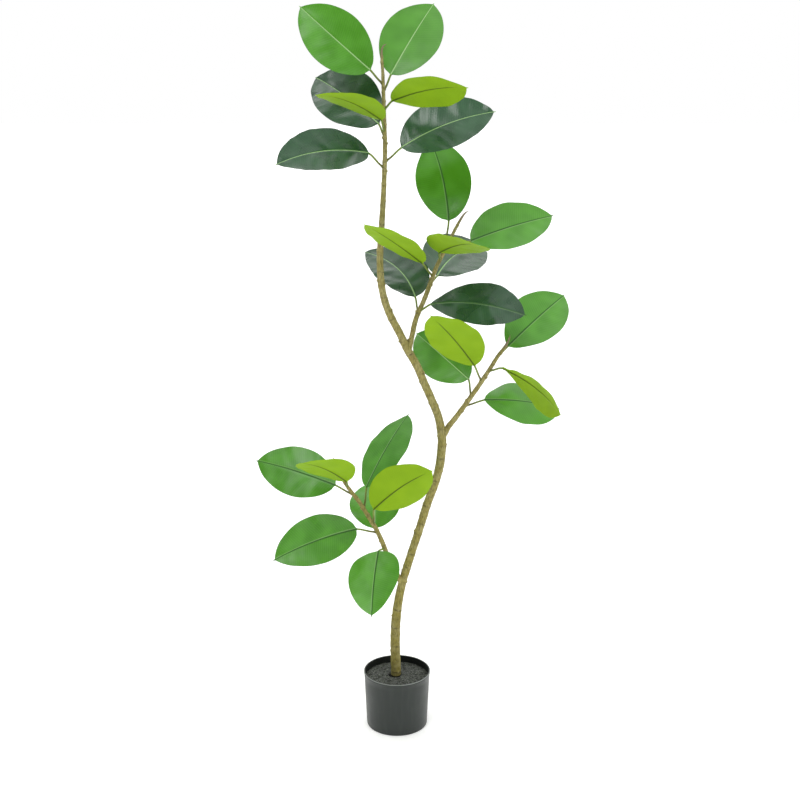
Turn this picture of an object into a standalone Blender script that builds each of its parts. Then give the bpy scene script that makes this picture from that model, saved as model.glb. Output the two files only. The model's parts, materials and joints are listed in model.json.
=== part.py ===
"""A tall young rubber plant in a plastic nursery pot.

Frame: +Z up, +X to the right of the front view, +Y to the back. The origin is the centre of the
underside of the pot. All lengths are metres and all angles degrees, unless a name says otherwise.
"""
from collections import namedtuple
from math import cos, log, pi, radians, sin

import bmesh
import bpy
from mathutils import Matrix, Vector

# ---------------------------------------------------------------- driving dimensions
GAP = 0.0003                  # clearance between solids that touch

POT_HEIGHT = 0.131
POT_RIM_RADIUS = 0.0762       # outside of the rolled rim
POT_TOP_RADIUS = 0.0753       # outside of the wall just under the rim
POT_FOOT_RADIUS = 0.0721      # outside of the wall at the foot
POT_WALL = 0.0022
POT_FLOOR = 0.0030
RIM_DEPTH = 0.0050
FOOT_BEVEL = 0.0035
POT_SEGMENTS = 48
DRAIN_RADIUS = 0.0045
DRAIN_CIRCLE = 0.048          # radius of the circle that the drain holes stand on
DRAIN_HOLES = 6

SOIL_TOP = 0.1170
SOIL_CROWN = 0.0020           # how far the soil rises between the wall and the trunk
CRATER_RADIUS = 0.0145        # the dip in the soil around the trunk
CRATER_DEPTH = 0.0040
CRATER_LIP = 0.0030           # width of the slope from the level soil down into the dip
SOIL_SHOULDER = 0.8           # where the soil starts to fall off to the wall, as a part of its radius

STEM_SIDES = 10
BRANCH_SIDES = 8
LEAF_SIDES = 8                # points round a leaf section: 2 margins, 3 above and 3 below

PETIOLE_RADIUS = 0.0016
PETIOLE_SPANS = 4
RIB_DEPTH = 0.0030            # the midrib under the foot of the blade, where the petiole joins
BLADE_THICKNESS = 0.0009
FOOT_WIDENING = 1.3           # half-width of the blade's foot over the petiole's radius
BLADE_FULLNESS = 0.62         # below 1 the margins are fuller than a sine curve
DRIP_TIP_START = 0.86         # where along the blade its margins start to draw in to the drip tip
DRIP_TIP_CUT = 0.35           # how much narrower they have become at the end
MARGIN_THINNING = 0.4         # how much thinner the blade is at its margins than beside the midrib
RIB_END = 0.9                 # where along the blade the raised midrib has faded out
PETIOLE_ELBOW = 0.12          # handle at the stem, as a part of the petiole's length
PETIOLE_BOW = 0.22             # handle at the blade

# Where the sections of a blade stand, as parts of its length from the petiole to the tip.
BLADE_STATIONS = (0.0, 0.035, 0.12, 0.27, 0.45, 0.63, 0.79, 0.91, 0.97, 1.0)

# ---------------------------------------------------------------- stems
# Each stem is a route of (x, y, z, radius), from its foot to its growing tip.
TRUNK_ROUTE = (
    (-0.002, 0.012, 0.046, 0.0112), (-0.002, 0.012, 0.115, 0.0115), (-0.004, 0.012, 0.195, 0.0109),
    (-0.002, 0.013, 0.252, 0.0104), (0.004, 0.013, 0.300, 0.0098), (0.012, 0.014, 0.340, 0.0092),
    (0.022, 0.014, 0.376, 0.0092), (0.038, 0.014, 0.430, 0.0090), (0.054, 0.012, 0.483, 0.0090),
    (0.067, 0.009, 0.530, 0.0092), (0.083, 0.006, 0.577, 0.0092), (0.094, 0.002, 0.621, 0.0095),
    (0.098, -0.002, 0.655, 0.0098), (0.099, -0.005, 0.690, 0.0096), (0.091, -0.009, 0.737, 0.0088),
    (0.075, -0.012, 0.780, 0.0086), (0.059, -0.014, 0.817, 0.0084), (0.043, -0.015, 0.855, 0.0084),
    (0.022, -0.014, 0.892, 0.0083), (0.005, -0.012, 0.928, 0.0080), (-0.012, -0.010, 0.960, 0.0078),
    (-0.025, -0.007, 0.993, 0.0076), (-0.032, -0.004, 1.026, 0.0074), (-0.035, -0.001, 1.061, 0.0071),
    (-0.035, 0.002, 1.100, 0.0068), (-0.031, 0.005, 1.161, 0.0061), (-0.027, 0.006, 1.230, 0.0053),
    (-0.024, 0.004, 1.316, 0.0045), (-0.026, 0.002, 1.393, 0.0039), (-0.028, 0.000, 1.461, 0.0032),
    (-0.030, 0.000, 1.492, 0.0027), (-0.030, 0.000, 1.508, 0.0021), (-0.026, -0.001, 1.517, 0.0014),
    (-0.019, -0.002, 1.521, 0.0),
)
UPPER_ROUTE = (
    (0.024, -0.013, 0.888, 0.0060), (0.031, -0.008, 0.911, 0.0057), (0.042, -0.001, 0.957, 0.0053),
    (0.058, 0.006, 0.993, 0.0050), (0.075, 0.014, 1.037, 0.0046), (0.084, 0.019, 1.061, 0.0043),
    (0.099, 0.025, 1.091, 0.0040), (0.122, 0.031, 1.137, 0.0033), (0.138, 0.035, 1.166, 0.0025),
    (0.147, 0.037, 1.177, 0.0015), (0.155, 0.039, 1.180, 0.0),
)
RIGHT_ROUTE = (
    (0.100, -0.005, 0.692, 0.0068), (0.113, -0.008, 0.717, 0.0062), (0.128, -0.012, 0.738, 0.0058),
    (0.151, -0.018, 0.773, 0.0053), (0.173, -0.023, 0.807, 0.0049), (0.199, -0.028, 0.850, 0.0045),
    (0.215, -0.031, 0.878, 0.0040), (0.231, -0.034, 0.902, 0.0032), (0.238, -0.036, 0.917, 0.0020),
    (0.241, -0.037, 0.928, 0.0),
)
LOWER_ROUTE = (
    (0.013, 0.013, 0.338, 0.0064), (0.003, 0.007, 0.358, 0.0060), (-0.008, 0.003, 0.382, 0.0057),
    (-0.020, -0.002, 0.411, 0.0054), (-0.031, -0.007, 0.443, 0.0052), (-0.045, -0.012, 0.478, 0.0050),
    (-0.061, -0.017, 0.508, 0.0047), (-0.083, -0.024, 0.549, 0.0044), (-0.102, -0.030, 0.577, 0.0040),
    (-0.117, -0.034, 0.602, 0.0034), (-0.131, -0.039, 0.633, 0.0022), (-0.140, -0.042, 0.662, 0.0),
)

# ---------------------------------------------------------------- leaves
# Directions are set out in the front view: lean is the angle from +X towards +Z, and forward is how
# far the direction comes out of that view towards the viewer. A blade's lean and forward are those of
# the line from its foot to its tip. turn is the roll of the blade about that line, from the upper face
# looking forward, and twist is how much more the tip is turned than the foot.
# arch is the bend of the midrib towards the underside, sweep its bend to the side, and cup the angle
# by which each half of the blade is turned up at its margin. belly is where the blade is widest, as a
# part of its length.
Leaf = namedtuple("Leaf", "name stem height petiole_lean petiole_forward petiole_length "
                          "lean forward turn twist length width arch sweep cup belly",
                  defaults=(0.475,))
LEAVES = (
    Leaf("leaf_01", "trunk", 1.444, 136, -10, 0.037, 139, -13, 8, 0, 0.200, 0.118, 20, 4, 12),
    Leaf("leaf_02", "trunk", 1.432, 62, -12, 0.033, 58, -31, -15, 0, 0.200, 0.124, 20, 0, 12),
    Leaf("leaf_03", "trunk", 1.338, 119, -37, 0.034, 146, -36, 20, 0, 0.210, 0.128, 40, 0, 12),
    Leaf("leaf_04", "trunk", 1.350, 106, 30, 0.025, 158, 45, 114, 0, 0.195, 0.100, 30, 0, 8),
    Leaf("leaf_05", "trunk", 1.394, 42, 25, 0.024, 10, 36, -128, 0, 0.190, 0.112, 25, -6, -14, 0.52),
    Leaf("leaf_06", "trunk", 1.288, 38, 10, 0.044, 20, -8, -35, 4, 0.212, 0.124, 21, 17, 12),
    Leaf("leaf_07", "trunk", 1.275, 138, 14, 0.044, 186, 22, 45, 0, 0.205, 0.117, 25, -25, 12),
    Leaf("leaf_08", "upper", 1.110, 87, -20, 0.052, 103, -30, 0, 0, 0.195, 0.120, 20, -19, 12),
    Leaf("leaf_09", "upper", 1.112, 4, -20, 0.052, 15, -15, -40, 0, 0.197, 0.118, 20, 0, 12),
    Leaf("leaf_10", "upper", 1.080, 100, 45, 0.024, 25, 63, -132, 0, 0.185, 0.127, 25, 0, 6, 0.45),
    Leaf("leaf_11", "upper", 1.045, 128, 20, 0.040, 142, 36, 126, 0, 0.190, 0.092, 10, 0, 4),
    Leaf("leaf_12", "upper", 0.972, 108, -45, 0.038, 145, -42, 45, 0, 0.188, 0.122, 20, -50, 12),
    Leaf("leaf_13", "upper", 1.030, 35, -60, 0.038, 22, -52, -48, 0, 0.195, 0.140, 20, 35, 12),
    Leaf("leaf_14", "upper", 0.976, 29, 20, 0.026, 357, 22, -50, 0, 0.218, 0.115, 40, 4, 4, 0.57),
    Leaf("leaf_15", "right", 0.880, 38, -35, 0.034, 35, -34, -32, 0, 0.197, 0.118, 20, 0, 12, 0.51),
    Leaf("leaf_16", "right", 0.825, 116, 25, 0.046, 128, 30, 150, 0, 0.184, 0.115, 20, 0, 3),
    Leaf("leaf_17", "right", 0.790, 102, -45, 0.042, 146, -44, 15, 0, 0.190, 0.112, 20, 0, 12),
    Leaf("leaf_18", "right", 0.768, 9, -25, 0.048, 348, -18, -55, 0, 0.190, 0.117, 35, -6, -15, 0.52),
    Leaf("leaf_19", "right", 0.850, 20, 40, 0.034, 328, 46, -125, -34, 0.192, 0.100, 33, 1, -29, 0.55),
    Leaf("leaf_20", "lower", 0.535, 80, -15, 0.045, 56, -32, -60, 0, 0.200, 0.123, 20, -6, -4, 0.5),
    Leaf("leaf_21", "lower", 0.570, 156, -10, 0.042, 169, -20, 30, 0, 0.198, 0.113, 20, -6, -4),
    Leaf("leaf_22", "lower", 0.590, 86, 50, 0.025, 138, 46, 144, 0, 0.172, 0.116, 25, 0, 12),
    Leaf("leaf_23", "lower", 0.498, 82, 30, 0.046, 41, 22, -168, 0, 0.183, 0.113, 20, -12, 12),
    Leaf("leaf_24", "lower", 0.467, 145, -60, 0.025, 90, -62, 0, 0, 0.145, 0.116, 20, 0, 12, 0.45),
    Leaf("leaf_25", "lower", 0.476, 168, 15, 0.047, 195, 20, 35, 0, 0.200, 0.112, 20, -12, 12),
    Leaf("leaf_26", "lower", 0.435, 175, 62, 0.028, 263, 50, 24, 0, 0.163, 0.120, 20, 0, 12, 0.41),
)

# ---------------------------------------------------------------- finishes: colour, roughness
FINISHES = {
    "pot_plastic": ((0.030, 0.031, 0.031), 0.40),
    "potting_soil": ((0.045, 0.040, 0.034), 0.95),
    "bark": ((0.235, 0.205, 0.085), 0.80),
    "leaf_green": ((0.095, 0.300, 0.030), 0.35),
    "leaf_dark": ((0.035, 0.110, 0.040), 0.25),
}
DARK_LEAVES = {"leaf_03", "leaf_06", "leaf_07", "leaf_12", "leaf_13", "leaf_14"}


def clear_scene():
    for old in list(bpy.data.objects):
        bpy.data.objects.remove(old, do_unlink=True)


def finish_material(name):
    """The Principled material of one finish, made once."""
    material = bpy.data.materials.get(name)
    if material is None:
        colour, roughness = FINISHES[name]
        material = bpy.data.materials.new(name)
        material.use_nodes = True
        shader = material.node_tree.nodes["Principled BSDF"]
        shader.inputs["Base Color"].default_value = (*colour, 1.0)
        shader.inputs["Roughness"].default_value = roughness
        shader.inputs["Metallic"].default_value = 0.0
    return material


def add_object(name, bm, finish):
    """Turn a bmesh into a named object with its finish."""
    bmesh.ops.recalc_face_normals(bm, faces=bm.faces)
    mesh = bpy.data.meshes.new(name)
    bm.to_mesh(mesh)
    bm.free()
    mesh.materials.append(finish_material(finish))
    part = bpy.data.objects.new(name, mesh)
    bpy.context.collection.objects.link(part)
    return part


def cut_with(part, cutter):
    """Cut a hidden cutter out of a part with an exact Boolean."""
    cutter.hide_render = True
    cutter.display_type = "WIRE"
    cut = part.modifiers.new("cut", "BOOLEAN")
    cut.operation = "DIFFERENCE"
    cut.solver = "EXACT"
    cut.object = cutter


# ---------------------------------------------------------------- turned shapes
def turned(name, profile, finish):
    """A closed solid of revolution about Z from a closed profile of (radius, z)."""
    bm = bmesh.new()
    points = [bm.verts.new((radius, 0.0, z)) for radius, z in profile]
    edges = [bm.edges.new(pair) for pair in zip(points, points[1:] + points[:1])
             if max(pair[0].co.x, pair[1].co.x) > 0.0]
    bmesh.ops.spin(bm, geom=points + edges, cent=(0, 0, 0), axis=(0, 0, 1), angle=2 * pi,
                   steps=POT_SEGMENTS, use_merge=True)
    bmesh.ops.remove_doubles(bm, verts=bm.verts, dist=1e-6)
    return add_object(name, bm, finish)


def wall_inside(z):
    """Inner radius of the pot's wall at a height."""
    part = z / POT_HEIGHT
    return POT_FOOT_RADIUS + (POT_TOP_RADIUS - POT_FOOT_RADIUS) * part - POT_WALL


def make_pot():
    rim_bottom = POT_HEIGHT - RIM_DEPTH
    roll = (POT_RIM_RADIUS - POT_TOP_RADIUS) / 2
    pot = turned("pot", (
        (0.0, 0.0),
        (POT_FOOT_RADIUS - FOOT_BEVEL, 0.0),
        (POT_FOOT_RADIUS - 0.3 * FOOT_BEVEL, 0.3 * FOOT_BEVEL),
        (POT_FOOT_RADIUS, FOOT_BEVEL),
        (POT_TOP_RADIUS, rim_bottom),
        (POT_RIM_RADIUS, rim_bottom + roll),
        (POT_RIM_RADIUS, POT_HEIGHT - roll),
        (POT_RIM_RADIUS - roll, POT_HEIGHT),
        (wall_inside(POT_HEIGHT), POT_HEIGHT - 0.3 * roll),
        (wall_inside(POT_FLOOR), POT_FLOOR),
        (0.0, POT_FLOOR),
    ), "pot_plastic")

    bm = bmesh.new()
    for index in range(DRAIN_HOLES):
        turn = Matrix.Rotation(2 * pi * index / DRAIN_HOLES, 4, "Z")
        bmesh.ops.create_cone(bm, cap_ends=True, segments=12, radius1=DRAIN_RADIUS,
                              radius2=DRAIN_RADIUS, depth=4 * POT_FLOOR,
                              matrix=turn @ Matrix.Translation((DRAIN_CIRCLE, 0, POT_FLOOR / 2)))
    cut_with(pot, add_object("drain_cutter", bm, "pot_plastic"))


def make_soil():
    """A plug of soil that fills the pot, with a dip and a socket where the trunk goes in."""
    bottom = POT_FLOOR + GAP
    socket = TRUNK_ROUTE[1][3] + 2 * GAP
    socket_bottom = TRUNK_ROUTE[0][2] - GAP
    edge = wall_inside(SOIL_TOP) - GAP
    soil = turned("soil", (
        (0.0, bottom),
        (wall_inside(bottom) - GAP, bottom),
        (edge, SOIL_TOP - SOIL_CROWN),
        (SOIL_SHOULDER * edge, SOIL_TOP - 0.2 * SOIL_CROWN),
        (edge / 2, SOIL_TOP),
        (CRATER_RADIUS + CRATER_LIP, SOIL_TOP),
        (CRATER_RADIUS, SOIL_TOP - 0.2 * CRATER_DEPTH),
        (socket, SOIL_TOP - CRATER_DEPTH),
        (socket, socket_bottom),
        (0.0, socket_bottom),
    ), "potting_soil")
    centre = Vector((TRUNK_ROUTE[0][0], TRUNK_ROUTE[0][1], 0.0))
    for vertex in soil.data.vertices:
        if vertex.co.xy.length < CRATER_RADIUS + CRATER_LIP + GAP and vertex.co.z > bottom + GAP:
            vertex.co += centre


# ---------------------------------------------------------------- stems
def smooth_route(route, steps):
    """Points of a Catmull-Rom curve through a route, with steps points to each span."""
    knots = [Vector(point) for point in route]
    first, last = 2 * knots[0] - knots[1], 2 * knots[-1] - knots[-2]
    padded = [first] + knots + [last]
    points = []
    for index in range(len(knots) - 1):
        a, b, c, d = padded[index:index + 4]
        for step in range(steps):
            t = step / steps
            points.append(0.5 * (2 * b + (c - a) * t + (2 * a - 5 * b + 4 * c - d) * t ** 2
                                 + (3 * b - a - 3 * c + d) * t ** 3))
    return points + [knots[-1]]


def tube(route, sides, growth=0.0):
    """A closed tube along (x, y, z, radius) points, with a flat foot and a pointed tip."""
    centres = [Vector(point[:3]) for point in route]
    bm = bmesh.new()
    ring = bmesh.ops.create_circle(bm, segments=sides, cap_ends=True, radius=1.0)["verts"]
    across = Vector((0, 1, 0))
    for index in range(len(route) - 1):
        if index:
            edges = [edge for edge in bm.edges if edge.verts[0] in ring and edge.verts[1] in ring]
            new = bmesh.ops.extrude_edge_only(bm, edges=edges)["geom"]
            ring = ordered_copy(ring, [v for v in new if isinstance(v, bmesh.types.BMVert)])
        along = (centres[index + 1] - centres[max(index - 1, 0)]).normalized()
        across = (across - across.dot(along) * along).normalized()
        side = along.cross(across)
        radius = route[index][3] + growth
        for corner, vertex in enumerate(ring):
            angle = 2 * pi * corner / sides
            vertex.co = centres[index] + radius * (cos(angle) * across + sin(angle) * side)
    tip = bm.verts.new(centres[-1] + growth * along)
    for corner, vertex in enumerate(ring):
        bm.faces.new((vertex, ring[(corner + 1) % sides], tip))
    return bm


def ordered_copy(ring, copies):
    """The extruded copies of a ring's vertices, in the ring's order."""
    return [next(other for edge in vertex.link_edges for other in edge.verts
                 if other in copies) for vertex in ring]


def make_stem(name, route, sides):
    """A stem with its bark, as a named object."""
    return add_object(name, tube(route, sides), "bark")


def stem_at(route, height):
    """Centre, direction and radius of a stem where it passes a height."""
    points = smooth_route(route, 6)
    low, high = next(pair for pair in zip(points, points[1:]) if pair[0].z <= height < pair[1].z)
    point = low.lerp(high, (height - low.z) / (high.z - low.z))
    return point.xyz, (high.xyz - low.xyz).normalized(), point.w


# ---------------------------------------------------------------- leaves
def front_direction(lean, forward):
    """Unit direction at lean from +X towards +Z, tipped forward towards -Y."""
    lean, forward = radians(lean), radians(forward)
    return Vector((cos(forward) * cos(lean), -sin(forward), cos(forward) * sin(lean)))


def blade_outline(part, belly):
    """Half-width of the blade, as a part of its greatest, at a part of its length."""
    body = sin(pi * part ** log(0.5, belly)) ** BLADE_FULLNESS if 0.0 < part < 1.0 else 0.0
    into_tip = max(0.0, (part - DRIP_TIP_START) / (1.0 - DRIP_TIP_START))
    return body * (1.0 - DRIP_TIP_CUT * into_tip ** 2)


def blade_section(leaf, along, facing, foot, part):
    """The eight points of the blade's section at a part of its length."""
    arch, sweep = radians(leaf.arch), radians(leaf.sweep)
    across = facing.cross(along)
    if part == 1.0:
        reach = leaf.length * sin(arch / 2) / (arch / 2)
        return [foot + along * reach]
    bend = arch * (0.5 - part)
    slew = sweep * (0.5 - part)
    ahead = leaf.length / arch * (sin(arch / 2) - sin(bend))
    rise = leaf.length / arch * (cos(bend) - cos(arch / 2))
    drift = leaf.length * sweep / 2 * part * (1.0 - part)
    centre = foot + along * ahead + facing * rise + across * drift
    tangent = along * cos(bend) + facing * sin(bend) + across * sin(slew)
    tangent.normalize()
    roll = Matrix.Rotation(radians(leaf.twist) * (part - 0.5), 3, tangent)
    up = roll @ (facing - facing.dot(tangent) * tangent).normalized()
    side = up.cross(tangent)

    half = max(leaf.width / 2 * blade_outline(part, leaf.belly), PETIOLE_RADIUS * FOOT_WIDENING)
    cup = radians(leaf.cup) * min(1.0, part / BLADE_STATIONS[2])
    upper, lower = [], []
    for place in (-1.0, -0.5, 0.0, 0.5, 1.0):
        turn = cup * place
        lift = half * (1 - cos(turn)) / cup if cup else 0.0
        spread = half * sin(turn) / cup if cup else half * place
        upper.append(centre + side * spread + up * lift)
        fade = max(0.0, 1.0 - part / RIB_END)
        depth = BLADE_THICKNESS * (1.0 - MARGIN_THINNING * abs(place))
        if place == 0.0:
            depth = BLADE_THICKNESS + (RIB_DEPTH - BLADE_THICKNESS) * fade
        lower.append(upper[-1] - up * depth)
    return upper + lower[3:0:-1]


def petiole_sections(root, elbow, bow, foot, across):
    """Round sections from the stem to the blade, along a Bezier curve with two handles. across is the
    direction of the first point of every section, carried back from the blade without a twist."""
    sections = []
    for step in reversed(range(PETIOLE_SPANS)):
        t = step / PETIOLE_SPANS
        centre = (root * (1 - t) ** 3 + elbow * 3 * t * (1 - t) ** 2
                  + bow * 3 * t ** 2 * (1 - t) + foot * t ** 3)
        along = ((elbow - root) * (1 - t) ** 2 + (bow - elbow) * 2 * t * (1 - t)
                 + (foot - bow) * t ** 2).normalized()
        across = (across - across.dot(along) * along).normalized()
        up = across.cross(along)
        ring = []
        for corner in range(LEAF_SIDES):
            angle = 2 * pi * corner / LEAF_SIDES
            ring.append(centre + PETIOLE_RADIUS * (cos(angle) * across + sin(angle) * up))
        sections.insert(0, ring)
    return sections


def loft(sections):
    """A closed skin through leaf sections that ends in a single point. The faces are split along the
    same diagonals above and below, so that the two sides of a warped blade stay apart."""
    bm = bmesh.new()
    rings = [[bm.verts.new(point) for point in section] for section in sections]
    bm.faces.new(rings[0])
    for low, high in zip(rings, rings[1:-1]):
        for corner in range(LEAF_SIDES):
            after = (corner + 1) % LEAF_SIDES
            if corner < LEAF_SIDES / 2:
                bm.faces.new((low[corner], low[after], high[after]))
                bm.faces.new((low[corner], high[after], high[corner]))
            else:
                bm.faces.new((low[corner], low[after], high[corner]))
                bm.faces.new((low[after], high[after], high[corner]))
    tip = rings[-1][0]
    for corner, vertex in enumerate(rings[-2]):
        bm.faces.new((vertex, rings[-2][(corner + 1) % LEAF_SIDES], tip))
    return bm


def make_leaf(leaf):
    centre, direction, radius = stem_at(STEMS[leaf.stem], leaf.height)
    heading = front_direction(leaf.petiole_lean, leaf.petiole_forward)
    foot = centre + heading * leaf.petiole_length
    outward = (heading - heading.dot(direction) * direction).normalized()
    root = centre + outward * (radius + 2 * GAP)

    along = front_direction(leaf.lean, leaf.forward)
    forward = Vector((0, -1, 0))
    facing = (forward - forward.dot(along) * along).normalized()
    facing.rotate(Matrix.Rotation(radians(leaf.turn), 3, along))

    blade = [blade_section(leaf, along, facing, foot, part) for part in BLADE_STATIONS]
    leaving = along * cos(radians(leaf.arch / 2)) + facing * sin(radians(leaf.arch / 2))
    bow = foot - leaving * leaf.petiole_length * PETIOLE_BOW
    middle = foot - (blade[0][2] - blade[0][6]) / 2
    elbow = root + outward * leaf.petiole_length * PETIOLE_ELBOW
    sections = petiole_sections(root, elbow, bow, middle, blade[0][0] - blade[0][4]) + blade
    finish = "leaf_dark" if leaf.name in DARK_LEAVES else "leaf_green"
    return add_object(leaf.name, loft(sections), finish)


STEMS = {"trunk": TRUNK_ROUTE, "upper": UPPER_ROUTE, "right": RIGHT_ROUTE, "lower": LOWER_ROUTE}


def make_stems():
    """The trunk, and three branches whose feet are cut to the trunk's side."""
    make_stem("trunk", TRUNK_ROUTE, STEM_SIDES)
    cutter = add_object("trunk_clearance", tube(TRUNK_ROUTE, STEM_SIDES, GAP), "bark")
    for name in ("upper", "right", "lower"):
        cut_with(make_stem("branch_" + name, STEMS[name], BRANCH_SIDES), cutter)


clear_scene()
make_pot()
make_soil()
make_stems()
for leaf in LEAVES:
    make_leaf(leaf)
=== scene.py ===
"""A tall rubber plant in a nursery pot: the finished surfaces, built on the plant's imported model.

Run as a script it makes the pot, the soil, the stems, the leaves and a small studio. Lengths are metres
with +Z up and the origin at the middle of the pot's underside.
"""
import json
import random
from math import cos, exp, log, pi, radians, sin, sqrt

import bmesh
import bpy
from mathutils import Matrix, Vector, noise


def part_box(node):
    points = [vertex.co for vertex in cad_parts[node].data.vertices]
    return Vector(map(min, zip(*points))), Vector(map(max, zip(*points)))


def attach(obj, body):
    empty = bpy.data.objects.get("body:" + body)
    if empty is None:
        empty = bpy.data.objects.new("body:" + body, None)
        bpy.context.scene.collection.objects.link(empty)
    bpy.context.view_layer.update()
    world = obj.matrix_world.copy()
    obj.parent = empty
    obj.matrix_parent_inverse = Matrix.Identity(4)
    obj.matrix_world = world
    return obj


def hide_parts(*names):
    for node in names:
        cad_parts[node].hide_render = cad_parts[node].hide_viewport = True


bl_info = {
    "name": "Potted Rubber Plant",
    "version": (1, 0, 0),
    "blender": (4, 5, 0),
    "location": "View3D > Sidebar > Rubber Plant",
    "description": "Finishes a tall rubber plant in a nursery pot around its packed model",
    "category": "Object",
}

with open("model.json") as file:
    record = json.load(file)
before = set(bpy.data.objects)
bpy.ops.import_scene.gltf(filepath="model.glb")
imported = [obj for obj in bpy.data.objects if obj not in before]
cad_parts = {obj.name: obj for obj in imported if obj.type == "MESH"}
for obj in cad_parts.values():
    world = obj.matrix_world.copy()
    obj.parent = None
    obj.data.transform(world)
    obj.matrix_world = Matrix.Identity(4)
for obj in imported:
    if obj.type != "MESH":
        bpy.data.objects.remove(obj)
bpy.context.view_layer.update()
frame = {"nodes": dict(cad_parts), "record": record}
POT_LOW, POT_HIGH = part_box("pot")
SOIL_LOW, SOIL_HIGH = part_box("soil")

BODY = "root"
MM = 0.001
STEM_SIDES = {"trunk": 10, "branch_upper": 8, "branch_right": 8, "branch_lower": 8}
LEAF_SIDES, LEAF_RINGS = 8, 13
LEAVES = sorted(name for name in frame["nodes"] if name.startswith("leaf_"))
SMOOTH = {"interpolation_type": "SMOOTHSTEP"}
VEIN_SLANT = 0.42             # how far a side vein runs towards the tip for its way out
SLOTS = {part["node"]: part["material_slot"] for part in frame["record"]["subparts"]}


def linear(code):
    """Linear red, green and blue of an sRGB hex colour."""
    channels = [int(code[start:start + 2], 16) / 255 for start in (1, 3, 5)]
    return tuple(c / 12.92 if c <= 0.04045 else ((c + 0.055) / 1.055) ** 2.4 for c in channels)


def colour(name, code, description):
    return bpy.props.FloatVectorProperty(name=name, description=description, subtype="COLOR", size=3,
                                         min=0.0, max=1.0, default=linear(code))


def length(name, default, description):
    return bpy.props.FloatProperty(name=name, description=description, unit="LENGTH", min=0.0,
                                   default=default)


# ---- settings
class RUBBERPLANT_PG_leaves(bpy.types.PropertyGroup):
    green: colour("Upper side", "#529a22", "Mid green of a leaf's upper side")
    green_deep: colour("Upper side, deep", "#3a7c06", "Deepest green of the upper side")
    # Painted shade: a darker copy of the upper side's greens, for the leaves in the leaf_dark slot.
    dark: colour("Old leaf", "#2f5a38", "Dark green upper side of the oldest leaves")
    shaded_leaf_deep: colour("Old leaf, deep", "#1b4026", "Deepest green of the oldest leaves")
    under: colour("Underside", "#88ae10", "Matt yellow green of the underside")
    under_deep: colour("Underside, deep", "#7da30c", "Deepest tone of the underside")
    rib: colour("Midrib above", "#a6d088", "Pale line of the midrib on the upper side")
    # Painted shade in the midrib's groove.
    groove: colour("Groove", "#24560e", "Shaded groove along the midrib above")
    # Partly painted shade of the raised rib as well.
    under_vein_and_rib_shade: colour("Midrib below", "#43560a", "Dark line of the midrib on the underside")
    stalk: colour("Leaf stalk", "#7c923c", "Grey green of the leaf stalks")
    stalk_foot: colour("Leaf stalk, foot", "#5f5a2c", "Brown of a leaf stalk where it leaves the stem")
    thickness: length("Thickness", 0.8 * MM, "Thickness of the blade beside the midrib")
    wave: length("Margin wave", 0.9 * MM, "Rise and fall of the margins")
    vein_spacing: length("Vein spacing", 5.0 * MM, "Distance between side veins along the midrib")


class RUBBERPLANT_PG_stems(bpy.types.PropertyGroup):
    bark: colour("Bark", "#8f853f", "Olive brown of the bark")
    bark_dark: colour("Bark, dark", "#433b1b", "Cracks, scars and old bark")
    # Also the painted highlight on the scar nubs.
    bark_pale_and_nub_highlight: colour("Bark, pale", "#a89f68", "Dusty bloom on the raised bark")
    bud: colour("Growing tip", "#837360", "Papery sheath of the growing tips")
    scar_spacing: length("Scar spacing", 20.0 * MM, "Distance between leaf scars")
    scar_height: length("Scar height", 3.3 * MM, "How far a leaf scar's nub stands out")


class RUBBERPLANT_PG_pot(bpy.types.PropertyGroup):
    plastic: colour("Pot", "#161f1b", "Dark grey of the moulded pot")
    # Painted shade: near black for the shade on the pot's inner wall.
    plastic_inside_shade: colour("Pot, inside", "#121613", "Dull black of the pot's inner wall")
    # Painted highlight: the pale line along the lip's outer edge.
    plastic_lip_highlight: colour("Pot, rubbed", "#868c87", "Pale rubbed edge of the pot's lip")
    soil: colour("Soil", "#50534f", "Mid grey of the dry potting mix")
    # Also painted shade in the gaps between the grains.
    soil_dark_and_gap_shade: colour("Soil, dark", "#1e201d", "Gaps between the grains")
    # Painted shade: near black for the gap round the trunk, on the soil and on the trunk's foot.
    pit_shade_black: colour("Soil, wet", "#0a0b09", "Wet soil in the gap round the trunk")
    soil_pale: colour("Soil, pale", "#7c7f79", "Palest grains")
    grain: length("Grain", 1.7 * MM, "Size of the soil's grains")
    wall: length("Wall", 2.2 * MM, "Thickness of the pot's wall")


class RUBBERPLANT_PG_stage(bpy.types.PropertyGroup):
    floor: colour("Floor", "#fcfcfb", "Plain pale studio floor")
    eye: bpy.props.FloatVectorProperty(name="Camera place", description="Where the camera stands",
                                       subtype="TRANSLATION", unit="LENGTH", size=3,
                                       default=(0.007, -2.6, 1.45))
    pitch: bpy.props.FloatProperty(name="Camera pitch", description="How far the camera looks down",
                                   subtype="ANGLE", default=radians(14.56))
    lens: bpy.props.FloatProperty(name="Focal length", description="Focal length of the camera",
                                  unit="CAMERA", default=55.49, min=1.0)


def settings(name):
    return getattr(bpy.context.scene, "rubberplant_" + name)


# ---- materials
def add_node(tree, kind, inputs=None, output=0, **options):
    """Add a shader node, set its options, set or link its inputs, and return one of its outputs. A
    linear colour triple gets its alpha here."""
    node = tree.nodes.new("ShaderNode" + kind)
    for key, value in options.items():
        setattr(node, key, value)
    for key, value in (inputs or {}).items():
        if isinstance(value, bpy.types.NodeSocket):
            tree.links.new(value, node.inputs[key])
        else:
            rgba = node.inputs[key].type == "RGBA"
            node.inputs[key].default_value = (*value, 1.0) if rgba else value
    return node.outputs[output]


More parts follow.
